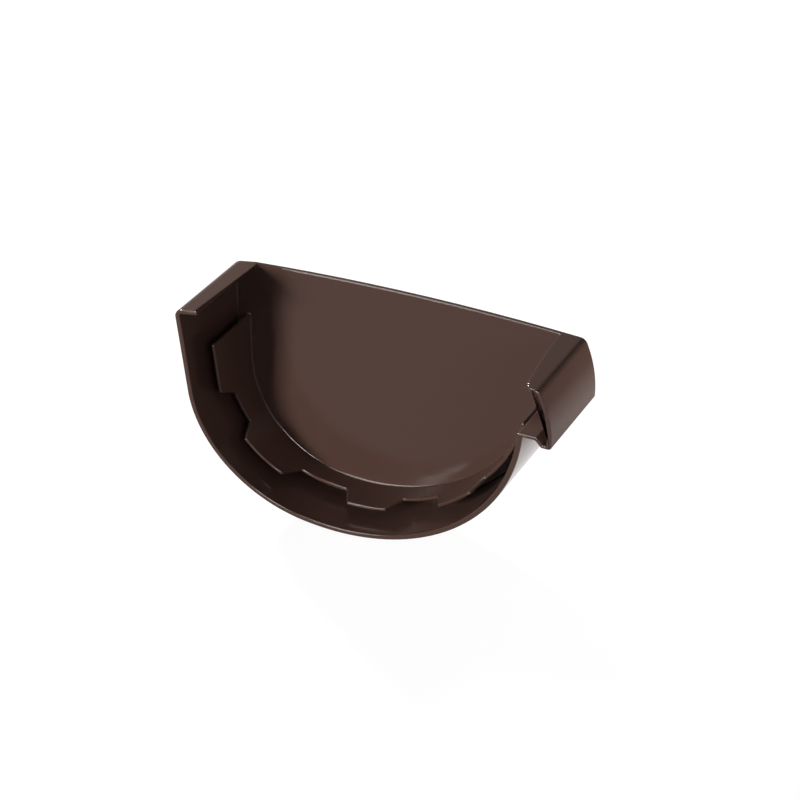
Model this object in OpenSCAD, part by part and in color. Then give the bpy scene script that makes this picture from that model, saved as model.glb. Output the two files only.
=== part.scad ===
/* [Gutter section] */
// Width over the rear wall and the front hook, in mm.
overall_width = 145.5; // [120:0.5:170]
// Height of the straight rear wall above the curve, in mm.
rear_height = 38.6; // [25:0.1:55]
// Outside radius of the tight curve next to the rear wall, in mm.
rear_radius = 50.3; // [40:0.1:65]
// Outside radius of the wide curve below and towards the front, in mm.
front_radius = 80.1; // [66:0.1:95]
// Turn of the tight curve, from the rear wall round to the wide one, in degrees.
rear_turn = 80; // [60:1:88]

/* [Walls] */
// Thickness of the end plate, in mm.
plate_wall = 2; // [1.5:0.1:3]
// Thickness of the skirt round the gutter's outside, in mm.
skirt_wall = 2.1; // [1.5:0.1:3]
// Rise of the plate's top edge above a straight line, in mm.
crown_rise = 2; // [0.5:0.1:4]
// Distance from the hook's front face to where the crown sinks to the shoulders' height, in mm.
crown_inset = 8; // [5:0.1:14]

/* [Rim] */
// Depth of the rim ahead of the plate at the shoulders, in mm.
rim_depth = 41.5; // [30:0.5:60]
// Lean of the rim, so that it is shallower at the bottom, in degrees.
rim_lean = 9.65; // [0:0.05:15]

/* [Rear flange] */
// Width of the flange over the rear wall, from the outside face, in mm.
flange_width = 9.8; // [6:0.1:16]
// Thickness of the flange, in mm.
flange_wall = 1.9; // [1.2:0.1:3]
// Fall of the flange towards the rear, in degrees.
flange_fall = 9.3; // [0:0.1:15]
// Radius of the flange's outer corner, in mm.
flange_corner = 3.8; // [2.5:0.1:5]

/* [Front hook] */
// Depth of the hook ahead of the plate at the shoulders, in mm.
hook_depth = 39; // [28:0.5:60]
// Lean of the hook's end, in degrees.
hook_lean = 3.4; // [0:0.1:9]
// Radius of the bowed outer wall, in mm.
hook_bow = 45; // [35:1:90]
// Depth below the shoulders at which the bowed wall stands upright, in mm.
hook_upright = 20; // [12:0.5:26]
// Height of the hook, from the shoulders to its foot, in mm.
hook_height = 23.3; // [18:0.1:30]
// Width of the lip over the bead, at the plate, in mm.
lip_width = 13.7; // [9:0.1:20]
// Width of the lip over the bead, at the rim, in mm.
lip_width_rim = 10; // [6:0.1:13]
// Radius of the lip's edge, which bulges slightly, in mm.
lip_bow = 420; // [200:10:900]
// Radius of the lip's corner at the rim, in mm.
lip_corner = 3; // [1:0.1:5]
// Thickness of the hook's lip and outer wall, in mm.
hook_wall = 1.9; // [1.2:0.1:3]
// Thickness of the ledge and of the foot under the bead, in mm.
foot_wall = 1.3; // [1:0.1:1.8]
// Radius of the hook's upper corner, in mm.
hook_corner = 3.2; // [2.5:0.1:6]
// Radius of the hook's foot, in mm.
foot_corner = 1.5; // [0.8:0.1:1.8]
// Depth of the bead's ledge below the shoulders, in mm.
ledge_depth = 19.4; // [15:0.1:22]
// Width of the channel in the foot, at its mouth, in mm.
channel_width = 3.6; // [2.6:0.1:5]
// Lean of the channel's inner side, from its mouth to its floor, in mm.
channel_lean = 2.2; // [0:0.1:3]

/* [Locating wall] */
// Gap between the skirt and the locating wall, where the gutter's edge goes, in mm.
gutter_gap = 3.9; // [2:0.1:5]
// Thickness of the locating wall, in mm.
locating_wall = 1.4; // [1:0.1:2.5]
// Setback of the tabs' fronts behind the rim, in mm.
tab_setback = 11; // [6:0.1:16]
// Setback of the notches' floors behind the tabs' fronts, in mm.
notch_depth = 8; // [4:0.1:12]
// Flare of the notches' sides, in degrees.
notch_flare = 27; // [0:1:40]
// Depth of the wall's rear end below the shoulders, in mm.
rear_end_depth = 21.7; // [12:0.1:35]
// Depth of the wall's front end below the shoulders, in mm.
front_end_depth = 28.3; // [20:0.1:40]
// First side of each notch's floor, turned from straight down, in degrees.
notch_starts = [-76.8, -23.5, 16.1, 48.2]; // [-90:0.1:90]
// Second side of each notch's floor, turned from straight down, in degrees.
notch_ends = [-59.9, -3.2, 28.3, 80]; // [-90:0.1:90]

/* [Hidden] */
$fn = 96;
colour = [0.25, 0.15, 0.11];
// Overrun of every cutter past the faces that it opens.
overrun = 1;
// Height by which a curve stands proud where it runs into its neighbour, so that the two cross cleanly.
seam = overall_width / 36000;
reach = 2 * overall_width;
rear_face = -overall_width / 2;
front_face = overall_width / 2;
turn = [-cos(rear_turn), -sin(rear_turn)];
rear_centre = [rear_face + rear_radius, -rear_height];
front_centre = rear_centre - (front_radius - rear_radius) * turn;
rim_slope = tan(rim_lean);
flange_edge = rear_face + flange_width;
lip_edge = front_face - lip_width;
lip_edge_rim = front_face - lip_width_rim;
crown_start = flange_edge + overrun;
crown_end = front_face - crown_inset;
crown_half = (crown_end - crown_start) / 2;
crown_radius = (crown_half * crown_half + crown_rise * crown_rise) / (2 * crown_rise);
crown_centre = [(crown_end + crown_start) / 2, crown_rise - crown_radius];
flange_up = [-sin(flange_fall), cos(flange_fall)];
flange_centre = [rear_face + flange_corner, -(flange_edge - rear_face - flange_corner) * tan(flange_fall) - flange_corner / cos(flange_fall)];
lip_bow_centre = meeting_point([lip_edge_rim, -hook_depth], lip_bow, [lip_edge, 0], lip_bow);
bow_centre = [front_face - hook_bow, -hook_upright];
corner_centre = meeting_point(crown_centre, crown_radius - hook_corner, bow_centre, hook_bow - hook_corner);
corner_up = unit(corner_centre - crown_centre);
corner_out = unit(corner_centre - bow_centre);
foot_height = -hook_height + foot_corner;
foot_reach = hook_bow - foot_corner;
foot_centre = [bow_centre[0] + sqrt(foot_reach * foot_reach - (foot_height + hook_upright) * (foot_height + hook_upright)), foot_height];
foot_out = unit(foot_centre - bow_centre);
room_edge = bow_centre[0] + hook_bow - hook_wall;
channel_edge = room_edge - channel_width;
foot_edge = channel_edge - foot_wall / 2;
locating_outer = skirt_wall + gutter_gap;
locating_inner = locating_outer + locating_wall;

function unit(v) = v / norm(v);

// Point on the right of the line between two centres, at a given distance from each.
function meeting_point(first, first_reach, second, second_reach) =
    let (gap = norm(second - first),
         along = (first_reach * first_reach - second_reach * second_reach + gap * gap) / (2 * gap),
         aside = sqrt(first_reach * first_reach - along * along),
         ahead = (second - first) / gap)
    first + along * ahead + aside * [ahead[1], -ahead[0]];

// Point of the section's outline, set in by inset, where its normal is turned by angle.
function outline_point(angle, inset) =
    angle < rear_turn - 90
        ? rear_centre + (rear_radius - inset) * [sin(angle), -cos(angle)]
        : front_centre + (front_radius - inset) * [sin(angle), -cos(angle)];

// Depth of a leaning face at one height, for a face that is set back behind the rim.
function face_depth(height, setback) = -(rim_depth - setback + rim_slope * height);

// Draws a section in the upright plane and runs it from one depth to another.
module run_depth(from, to) {
    translate([0, from, 0])
        rotate([90, 0, 0])
            linear_extrude(height = from - to)
                children();
}

// Everything in front of a leaning face.
module beyond_face(setback) {
    rotate([90, 0, 90])
        linear_extrude(height = reach, center = true)
            polygon([[face_depth(reach, setback), reach], [face_depth(-reach, setback), -reach],
                     [-reach, -reach], [-reach, reach]]);
}

// Everything in front of the hook's end, on the hook's half of the part.
module beyond_hook() {
    rotate([90, 0, 90])
        linear_extrude(height = reach)
            polygon([[-hook_depth - reach * tan(hook_lean), reach],
                     [-hook_depth + reach * tan(hook_lean), -reach], [-2 * reach, -reach],
                     [-2 * reach, reach]]);
}

// Swaps a sharp corner of a section for a rounded one.
module round_corner(centre, first, second, radius) {
    difference() {
        children();
        polygon([centre, centre + 2 * radius * first, centre + 2 * radius * (first + second),
                 centre + 2 * radius * second]);
    }
    translate(centre) circle(radius + seam);
}

// The trough's section, set in from the outside, open upward as far as top.
module trough(inset, top) {
    polygon([[rear_face + inset, top], [rear_face + inset, rear_centre[1]], rear_centre,
             [rear_centre[0], top]]);
    intersection() {
        translate(rear_centre) circle(rear_radius - inset + seam);
        polygon([[-reach, -rear_height / 2], [reach, -rear_height / 2], [reach, -reach],
                 [-reach, -reach]]);
    }
    intersection() {
        translate(front_centre) circle(front_radius - inset);
        polygon([rear_centre, rear_centre + reach * turn, [reach, -reach], [reach, top],
                 [rear_centre[0], top]]);
    }
}

// The rear wall's top with its rounded corner.
module rear_outline() {
    round_corner(flange_centre, [-1, 0], flange_up, flange_corner)
        polygon([[rear_face, -rear_height], [rear_face, -flange_width * tan(flange_fall)],
                 [flange_edge, 0], [flange_edge, -rear_height]]);
}

// Everything under the crown's curve, set in from it.
module under_crown(inset) {
    translate(crown_centre) circle(crown_radius - inset, $fn = 1440);
}

// The hook's outline, with the bead's room filled.
module hook_outline() {
    round_corner(foot_centre, foot_out, [0, -1], foot_corner)
        round_corner(corner_centre, corner_up, corner_out, hook_corner)
            intersection() {
                translate(bow_centre) circle(hook_bow);
                under_crown(0);
                polygon([[lip_edge, crown_rise], [lip_edge, -ledge_depth - foot_wall],
                         [foot_edge, -ledge_depth - foot_wall],
                         [foot_edge + channel_lean, -hook_height], [reach, -hook_height],
                         [reach, crown_rise]]);
            }
}

// The room that the gutter's bead and its turned edge fill.
module bead_room() {
    round_corner(corner_centre, corner_up, corner_out, hook_corner - hook_wall)
        intersection() {
            translate(bow_centre) circle(hook_bow - hook_wall);
            under_crown(hook_wall);
            polygon([[lip_edge - overrun, crown_rise], [lip_edge - overrun, -ledge_depth],
                     [channel_edge, -ledge_depth],
                     [channel_edge + channel_lean, foot_wall - hook_height],
                     [reach, foot_wall - hook_height], [reach, crown_rise]]);
        }
}

// The whole outline, with the crown between the flange and the hook.
module outline() {
    trough(0, -ledge_depth);
    rear_outline();
    hook_outline();
    polygon([[flange_edge, 0], [flange_edge, -rear_height], [front_centre[0], -rear_height],
             [lip_edge + overrun, -ledge_depth - foot_wall / 2], [lip_edge + overrun, -foot_wall],
             [front_centre[0], 0]]);
    intersection() {
        under_crown(0);
        polygon([[flange_edge, crown_rise + overrun], [flange_edge, -overrun],
                 [lip_edge + overrun, -crown_rise], [lip_edge + overrun, crown_rise + overrun]]);
    }
}

// Everything that is open in front of the plate: the trough, the mouth above it and the bead's room.
module cavity() {
    trough(skirt_wall, -ledge_depth / 2);
    polygon([[rear_face + skirt_wall, -ledge_depth / 2 - overrun],
             [rear_face + skirt_wall, -(flange_width - skirt_wall) * tan(flange_fall) - flange_wall],
             [flange_edge, -flange_wall], [flange_edge, crown_rise + overrun],
             [lip_edge, crown_rise + overrun], [lip_edge, -ledge_depth / 2 - overrun]]);
    bead_room();
}

// Trims the lip's edge, seen from above, to a slight bow with a rounded corner at the rim.
module lip_trim() {
    corner = [lip_edge_rim + lip_corner, lip_corner - hook_depth];
    translate([0, 0, -ledge_depth / 2])
        linear_extrude(height = ledge_depth) {
            difference() {
                polygon([[lip_edge - overrun, 0], [lip_edge - overrun, -reach],
                         [lip_edge_rim + lip_corner, -reach], [lip_edge_rim + lip_corner, 0]]);
                translate(lip_bow_centre) circle(lip_bow, $fn = 1440);
            }
            difference() {
                polygon([[lip_edge, corner[1]], corner, [corner[0], -reach], [lip_edge, -reach]]);
                translate(corner) circle(lip_corner + seam);
            }
        }
}

// The plate, skirt, flange and hook.
module shell() {
    difference() {
        run_depth(plate_wall, -rim_depth - overrun) outline();
        run_depth(0, -rim_depth - 2 * overrun) cavity();
        beyond_face(0);
        beyond_hook();
        lip_trim();
    }
}

// Cuts one notch, from its floor out through the tabs' fronts.
module notch(start, end) {
    first = outline_point(start, locating_outer);
    second = outline_point(end, locating_outer);
    span = norm(second - first);
    flare = reach * tan(notch_flare);
    translate([first[0], 0, first[1]])
        rotate([0, -atan2(second[1] - first[1], second[0] - first[0]), 0])
            linear_extrude(height = rear_radius / 2, center = true)
                polygon([[0, face_depth(first[1], tab_setback + notch_depth)],
                         [span, face_depth(second[1], tab_setback + notch_depth)],
                         [span + flare, face_depth(second[1], tab_setback + notch_depth) - reach],
                         [-flare, face_depth(first[1], tab_setback + notch_depth) - reach]]);
}

// The castellated wall inside the skirt.
module castellated_wall() {
    difference() {
        run_depth(plate_wall / 2, -rim_depth)
            intersection() {
                difference() {
                    trough(locating_outer, 0);
                    trough(locating_inner, overrun);
                }
                polygon([[rear_face, -rear_end_depth], [front_centre[0], -rear_end_depth],
                         [front_centre[0], -front_end_depth], [reach, -front_end_depth],
                         [reach, -reach], [rear_face, -reach]]);
            }
        beyond_face(tab_setback);
        for (i = [0 : len(notch_starts) - 1]) notch(notch_starts[i], notch_ends[i]);
    }
}

module end_cap() {
    color(colour) {
        shell();
        castellated_wall();
    }
}

end_cap();
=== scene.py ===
import bpy
from math import cos, radians
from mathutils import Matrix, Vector


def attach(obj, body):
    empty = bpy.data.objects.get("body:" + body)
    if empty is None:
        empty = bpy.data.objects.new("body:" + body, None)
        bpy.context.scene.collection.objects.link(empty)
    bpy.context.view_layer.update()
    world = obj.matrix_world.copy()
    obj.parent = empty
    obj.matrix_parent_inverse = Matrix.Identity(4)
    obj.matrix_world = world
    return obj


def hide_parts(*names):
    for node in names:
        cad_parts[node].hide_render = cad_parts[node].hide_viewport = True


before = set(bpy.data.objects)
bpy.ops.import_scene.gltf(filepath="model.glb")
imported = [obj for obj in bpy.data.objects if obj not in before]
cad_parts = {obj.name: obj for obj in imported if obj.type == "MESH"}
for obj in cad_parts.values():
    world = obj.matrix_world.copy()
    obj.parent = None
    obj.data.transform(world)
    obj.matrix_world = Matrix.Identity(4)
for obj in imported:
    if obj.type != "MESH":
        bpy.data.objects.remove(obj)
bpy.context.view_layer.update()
print("frame loaded")


def deselectAll():
    bpy.ops.object.select_all(action="DESELECT")


def selectOnly(obj):
    deselectAll()
    obj.select_set(True)
    bpy.context.view_layer.objects.active = obj


def applyModifiers(obj):
    selectOnly(obj)
    for modifier in list(obj.modifiers):
        bpy.ops.object.modifier_apply(modifier=modifier.name)


def addNode(tree, kind, x, y, **sockets):
    # a node at a place, with sockets set by name, an underscore standing for a space
    node = tree.nodes.new(kind)
    node.location = (x, y)
    for name, value in sockets.items():
        node.inputs[name.replace("_", " ")].default_value = value
    return node


# glossy brown plastic of one injection moulding
plasticLook = {
    "colour": (0.0855, 0.0463, 0.0362, 1.0),   # dark brown
    "roughness": 0.14,
    "patchSize": 0.03,         # metres, of the patches over which the gloss wanders
    "roughnessSpread": 0.04,   # how far it wanders
}


def buildMouldGroup():
    # slow change of gloss over a moulded skin
    group = bpy.data.node_groups.new("mouldedSkin", "ShaderNodeTree")
    face = group.interface
    for name in ("Patch Size", "Roughness", "Spread"):
        face.new_socket(name, in_out="INPUT", socket_type="NodeSocketFloat")
    face.new_socket("Roughness", in_out="OUTPUT", socket_type="NodeSocketFloat")
    inside = addNode(group, "NodeGroupInput", -900, 0)
    outside = addNode(group, "NodeGroupOutput", 400, 0)
    place = addNode(group, "ShaderNodeTexCoord", -700, 250)
    scale = addNode(group, "ShaderNodeMath", -700, 60)
    scale.operation = "DIVIDE"
    scale.inputs[0].default_value = 1.0
    broad = addNode(group, "ShaderNodeTexNoise", -450, 200, Detail=1.0, Roughness=0.4)
    centred = addNode(group, "ShaderNodeMath", -220, 60)
    centred.operation = "SUBTRACT"
    centred.inputs[1].default_value = 0.5   # the noise's middle
    spread = addNode(group, "ShaderNodeMath", -20, 20)
    spread.operation = "MULTIPLY"
    total = addNode(group, "ShaderNodeMath", 180, -20)
    total.operation = "ADD"
    link = group.links.new
    link(place.outputs["Object"], broad.inputs["Vector"])
    link(inside.outputs["Patch Size"], scale.inputs[1])
    link(scale.outputs[0], broad.inputs["Scale"])
    link(broad.outputs["Fac"], centred.inputs[0])
    link(centred.outputs[0], spread.inputs[0])
    link(inside.outputs["Spread"], spread.inputs[1])
    link(spread.outputs[0], total.inputs[0])
    link(inside.outputs["Roughness"], total.inputs[1])
    link(total.outputs[0], outside.inputs["Roughness"])
    return group


def buildPlastic(look, mouldGroup):
    material = bpy.data.materials.new("brownPlastic")
    material.use_nodes = True
    tree = material.node_tree
    shader = tree.nodes["Principled BSDF"]
    shader.inputs["Base Color"].default_value = look["colour"]
    skin = addNode(tree, "ShaderNodeGroup", -300, 0)
    skin.node_tree = mouldGroup
    skin.inputs["Patch Size"].default_value = look["patchSize"]
    skin.inputs["Roughness"].default_value = look["roughness"]
    skin.inputs["Spread"].default_value = look["roughnessSpread"]
    tree.links.new(skin.outputs["Roughness"], shader.inputs["Roughness"])
    return material


brownPlastic = buildPlastic(plasticLook, buildMouldGroup())
print("plastic made")


# the moulding, with its edges and inside corners rounded
mouldingShape = {
    "seamGap": 0.000005,     # metres, corners nearer than this are merged
    "flatAngle": 0.4,        # degrees, faces that meet flatter than this become one
    "edgeRadius": 0.0005,    # metres, on every sharp edge and in every inside corner
    "edgeSegments": 3,
    "edgeAngle": 25.0,       # degrees, edges sharper than this are rounded
    "flangeRadius": 0.0013,  # metres, on the flange's inner edge and its corner with the plate
    "flangeSegments": 4,
    # the boxes in which those two edges lie, metres
    "flangeBoxes": (((-0.0631, -0.0420, -0.0002), (-0.0628, 0.0002, 0.0002)),
                    ((-0.0631, -0.0002, -0.0021), (-0.0628, 0.0002, 0.0002))),
    "smoothAngle": 35.0,     # degrees, edges sharper than this stay sharp in the shading
}


def selectEdges(obj, boxes):
    # every edge with both its ends inside one of the boxes
    mesh = obj.data
    for part in (mesh.vertices, mesh.edges, mesh.polygons):
        for item in part:
            item.select = False
    for edge in mesh.edges:
        ends = [obj.matrix_world @ mesh.vertices[index].co for index in edge.vertices]
        edge.select = any(all(low[axis] <= end[axis] <= high[axis]
                              for end in ends for axis in range(3))
                          for low, high in boxes)


def buildMoulding(cadNode, shape, material):
    moulding = cadNode.copy()
    moulding.data = cadNode.data.copy()
    moulding.name = "moulding"
    moulding.parent = None
    bpy.context.scene.collection.objects.link(moulding)
    selectOnly(moulding)
    # the copy's loose triangles are merged and its flat faces made whole
    bpy.ops.object.mode_set(mode="EDIT")
    bpy.ops.mesh.select_all(action="SELECT")
    bpy.ops.mesh.remove_doubles(threshold=shape["seamGap"])
    bpy.ops.mesh.dissolve_limited(angle_limit=radians(shape["flatAngle"]))
    bpy.ops.mesh.select_mode(type="EDGE")
    bpy.ops.object.mode_set(mode="OBJECT")
    # the flange's wider rounding comes first
    selectEdges(moulding, shape["flangeBoxes"])
    bpy.ops.object.mode_set(mode="EDIT")
    bpy.ops.mesh.bevel(offset=shape["flangeRadius"], segments=shape["flangeSegments"],
                       affect="EDGES", clamp_overlap=False)
    bpy.ops.object.mode_set(mode="OBJECT")
    rounding = moulding.modifiers.new("rounding", "BEVEL")
    rounding.width = shape["edgeRadius"]
    rounding.segments = shape["edgeSegments"]
    rounding.limit_method = "ANGLE"
    rounding.angle_limit = radians(shape["edgeAngle"])
    rounding.miter_outer = "MITER_ARC"
    rounding.use_clamp_overlap = False
    applyModifiers(moulding)
    bpy.ops.object.shade_smooth_by_angle(angle=radians(shape["smoothAngle"]))
    levelling = moulding.modifiers.new("levelling", "WEIGHTED_NORMAL")
    levelling.mode = "FACE_AREA"
    levelling.keep_sharp = True
    applyModifiers(moulding)
    moulding.data.materials.clear()
    moulding.data.materials.append(material)
    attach(moulding, "root")
    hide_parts("end_cap")


buildMoulding(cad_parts["end_cap"], mouldingShape, brownPlastic)
print("moulding made")


# white studio: a floor, and a sky with pale cards that only the gloss shows
studio = {
    "floorHeight": -0.0895,    # metres, just under the skirt
    "floorSize": 12.0,         # metres
    "floorColour": (0.18, 0.18, 0.18, 1.0),
    "floorGlow": 0.92,         # what the camera sees added to the lit floor
    # metres back plus metres right, and how bright the floor shows there in the gloss
    "mirrorBands": ((0.01, 0.22), (0.05, 1.0), (0.11, 1.0),
                    (0.16, 0.3), (0.23, 0.43), (0.5, 0.06)),
    "skyStrength": 0.1,        # what falls on the object
    "skyMirror": 0.05,         # how bright the sky shows in the gloss
    # each card's direction, degrees to its full part and to its end, and its strength
    "cards": (((-0.25, 0.77, 0.62), (11.0, 24.0), 0.17),
              ((-0.40, -0.25, 0.88), (14.0, 26.0), 7.5),
              ((-0.72, 0.69, 0.10), (8.0, 18.0), 0.3),
              ((0.12, -0.95, 0.28), (7.0, 14.0), 25.0),
              ((-0.47, -0.87, 0.12), (7.0, 12.0), 18.0)),
}


def buildFloor(look):
    deselectAll()
    bpy.ops.mesh.primitive_plane_add(size=look["floorSize"],
                                     location=(0, 0, look["floorHeight"]))
    floor = bpy.context.object
    floor.name = "floor"
    bpy.ops.object.transform_apply(location=True, rotation=True, scale=True)
    material = bpy.data.materials.new("paleFloor")
    material.use_nodes = True
    tree = material.node_tree
    tree.nodes.clear()
    path = addNode(tree, "ShaderNodeLightPath", -800, 200)
    lit = addNode(tree, "ShaderNodeBsdfDiffuse", -500, 0, Color=look["floorColour"])
    glow = addNode(tree, "ShaderNodeEmission", -500, -150)
    scale = addNode(tree, "ShaderNodeMath", -650, -150)
    scale.operation = "MULTIPLY"
    scale.inputs[1].default_value = look["floorGlow"]
    both = addNode(tree, "ShaderNodeAddShader", -250, 0)
    mirrored = addNode(tree, "ShaderNodeEmission", -250, -200)
    place = addNode(tree, "ShaderNodeTexCoord", -1050, -350)
    away = addNode(tree, "ShaderNodeVectorMath", -850, -350)
    away.operation = "DOT_PRODUCT"
    away.inputs[1].default_value = (1, 1, 0)   # adds the metres right and back
    bands = look["mirrorBands"]
    first, last = bands[0][0], bands[-1][0]
    along = addNode(tree, "ShaderNodeMapRange", -650, -350, From_Min=first, From_Max=last)
    fade = addNode(tree, "ShaderNodeValToRGB", -450, -350)
    stops = fade.color_ramp.elements   # a new ramp has two stops
    for order, (distance, bright) in enumerate(bands):
        spot = (distance - first) / (last - first)
        stop = stops[order] if order < 2 else stops.new(spot)
        stop.position = spot
        stop.color = (bright, bright, bright, 1)
    mix = addNode(tree, "ShaderNodeMixShader", 0, 0)
    out = addNode(tree, "ShaderNodeOutputMaterial", 250, 0)
    link = tree.links.new
    link(path.outputs["Is Camera Ray"], scale.inputs[0])
    link(scale.outputs[0], glow.inputs["Strength"])
    link(lit.outputs[0], both.inputs[0])
    link(glow.outputs[0], both.inputs[1])
    link(place.outputs["Object"], away.inputs[0])
    link(away.outputs["Value"], along.inputs["Value"])
    link(along.outputs[0], fade.inputs[0])
    link(fade.outputs[0], mirrored.inputs["Strength"])
    link(path.outputs["Is Glossy Ray"], mix.inputs[0])
    link(both.outputs[0], mix.inputs[1])
    link(mirrored.outputs[0], mix.inputs[2])
    link(mix.outputs[0], out.inputs["Surface"])
    floor.data.materials.append(material)


def buildWorld(look):
    world = bpy.data.worlds.new("studioSky")
    bpy.context.scene.world = world
    world.use_nodes = True
    tree = world.node_tree
    tree.nodes.clear()
    path = addNode(tree, "ShaderNodeLightPath", -800, 200)
    lit = addNode(tree, "ShaderNodeBackground", -500, 100, Strength=look["skyStrength"])
    mirrored = addNode(tree, "ShaderNodeBackground", -500, -50)
    white = addNode(tree, "ShaderNodeBackground", -500, -200, Strength=1.0)
    for background in (lit, mirrored, white):
        background.inputs["Color"].default_value = (1, 1, 1, 1)
    way = addNode(tree, "ShaderNodeTexCoord", -1250, -50)
    link = tree.links.new
    shown = None   # the brightest of the cards so far
    for order, (toward, reach, strength) in enumerate(look["cards"]):
        height = -50 - 300 * order
        facing = addNode(tree, "ShaderNodeVectorMath", -1050, height)
        facing.operation = "DOT_PRODUCT"
        facing.inputs[1].default_value = Vector(toward).normalized()
        card = addNode(tree, "ShaderNodeMapRange", -850, height,
                       From_Min=cos(radians(reach[1])), From_Max=cos(radians(reach[0])),
                       To_Min=look["skyMirror"], To_Max=strength)
        card.interpolation_type = "SMOOTHSTEP"
        link(way.outputs["Generated"], facing.inputs[0])
        link(facing.outputs["Value"], card.inputs["Value"])
        if shown:
            brighter = addNode(tree, "ShaderNodeMath", -650, height)
            brighter.operation = "MAXIMUM"
            link(shown, brighter.inputs[0])
            link(card.outputs[0], brighter.inputs[1])
            shown = brighter.outputs[0]
        else:
            shown = card.outputs[0]
    glossy = addNode(tree, "ShaderNodeMixShader", -250, 50)
    mix = addNode(tree, "ShaderNodeMixShader", 0, 0)
    out = addNode(tree, "ShaderNodeOutputWorld", 250, 0)
    link(shown, mirrored.inputs["Strength"])
    link(path.outputs["Is Glossy Ray"], glossy.inputs[0])
    link(lit.outputs[0], glossy.inputs[1])
    link(mirrored.outputs[0], glossy.inputs[2])
    link(path.outputs["Is Camera Ray"], mix.inputs[0])
    link(glossy.outputs[0], mix.inputs[1])
    link(white.outputs[0], mix.inputs[2])
    link(mix.outputs[0], out.inputs["Surface"])


# metres and watts, and whether the gloss shows the lamp; each lamp looks at the object
lamps = {
    "frontLamp": {"place": (-1.025, -1.928, 0.268), "size": (0.5, 0.66),
                  "power": 45.0, "glint": False},
    "sideLamp": {"place": (0.24, 0.08, -0.068), "size": (0.1, 0.035),
                 "power": 0.54, "glint": False},
    "backLamp": {"place": (-1.68, 1.05, 0.98), "size": (0.5, 0.4),
                 "power": 65.0, "glint": True},
    "fillLamp": {"place": (1.58, -1.32, 0.75), "size": (0.8, 0.8),
                 "power": 4.5, "glint": True},
}


def buildLamp(name, look):
    deselectAll()
    bpy.ops.object.light_add(type="AREA", location=look["place"])
    lamp = bpy.context.object
    lamp.name = name
    lamp.data.shape = "RECTANGLE"
    lamp.data.size, lamp.data.size_y = look["size"]
    lamp.data.energy = look["power"]
    lamp.visible_glossy = look["glint"]
    lamp.rotation_mode = "QUATERNION"
    lamp.rotation_quaternion = lamp.location.to_track_quat("Z", "Y")


buildFloor(studio)
buildWorld(studio)
for lampName, lampLook in lamps.items():
    buildLamp(lampName, lampLook)
print("studio made")


# the camera that took the photo
cameraSet = {
    "place": (0.32438, -0.66525, 0.39571),   # metres
    "turn": 26.2,        # degrees round the object, from straight in front
    "height": 30.6,      # degrees above the horizon
    "lens": 105.3,       # millimetres
    "sensor": 36.0,      # millimetres
    "clipStart": 0.01,   # metres, nearer than this nothing shows
}


def buildCamera(look):
    deselectAll()
    bpy.ops.object.camera_add(location=look["place"],
                              rotation=(radians(90 - look["height"]), 0, radians(look["turn"])))
    camera = bpy.context.object
    camera.name = "photoCamera"
    camera.data.sensor_width = look["sensor"]
    camera.data.lens = look["lens"]
    camera.data.clip_start = look["clipStart"]
    bpy.context.scene.camera = camera


buildCamera(cameraSet)
bpy.context.scene.view_settings.view_transform = "Standard"

print("scene made")
